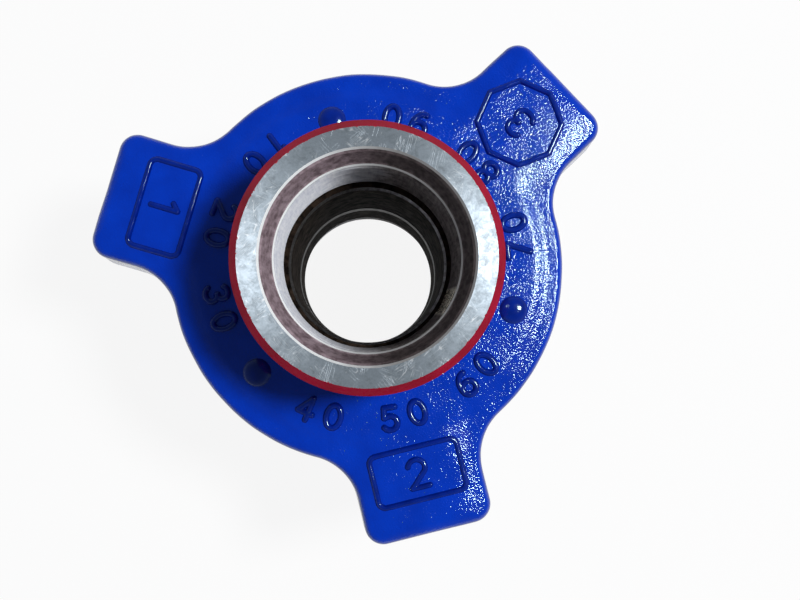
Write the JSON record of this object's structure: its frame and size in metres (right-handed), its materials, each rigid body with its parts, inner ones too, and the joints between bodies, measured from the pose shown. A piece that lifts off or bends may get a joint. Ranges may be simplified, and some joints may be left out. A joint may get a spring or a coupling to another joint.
{
  "type": "hammer union",
  "caption": "Hammer union with a three-lug wing nut on a coarse screw thread, ball-nosed male and cone-seated female subs, lip seal and threaded pipe ends.",
  "frame": {"origin": "centre of the female sub's end face, on the axis of the bore; the union stands on this face", "axes": "+Z along the bore, from the female sub's pipe end towards the male sub's; one lug of the nut points along -Y at rest"},
  "size_m": [0.183, 0.1644, 0.172],
  "materials": {
    "blue_enamel": "gloss",
    "red_enamel": "gloss",
    "seal_rubber": "matt",
    "brass": "satin"
  },
  "bodies": {
    "female_sub": {"female_sub": "red_enamel", "seal_ring": "seal_rubber", "seal_brass_ring": "brass"},
    "male_sub": {"male_sub": "red_enamel"},
    "wing_nut": {"wing_nut": "blue_enamel"}
  },
  "joints": [
    {"name": "male_lift", "type": "slide", "parent": "female_sub", "child": "male_sub", "axis": [0, 0, 1], "range_m": [0, 0.04024]},
    {"name": "nut_spin", "type": "hinge", "parent": "male_sub", "child": "wing_nut", "pos_m": [0, 0, 0.1], "axis": [0, 0, 1], "range_deg": [0, 1710]}
  ],
  "couplings": [
    {"joint": "male_lift", "follows": "nut_spin", "m_per_rad": 0.0013475}
  ]
}
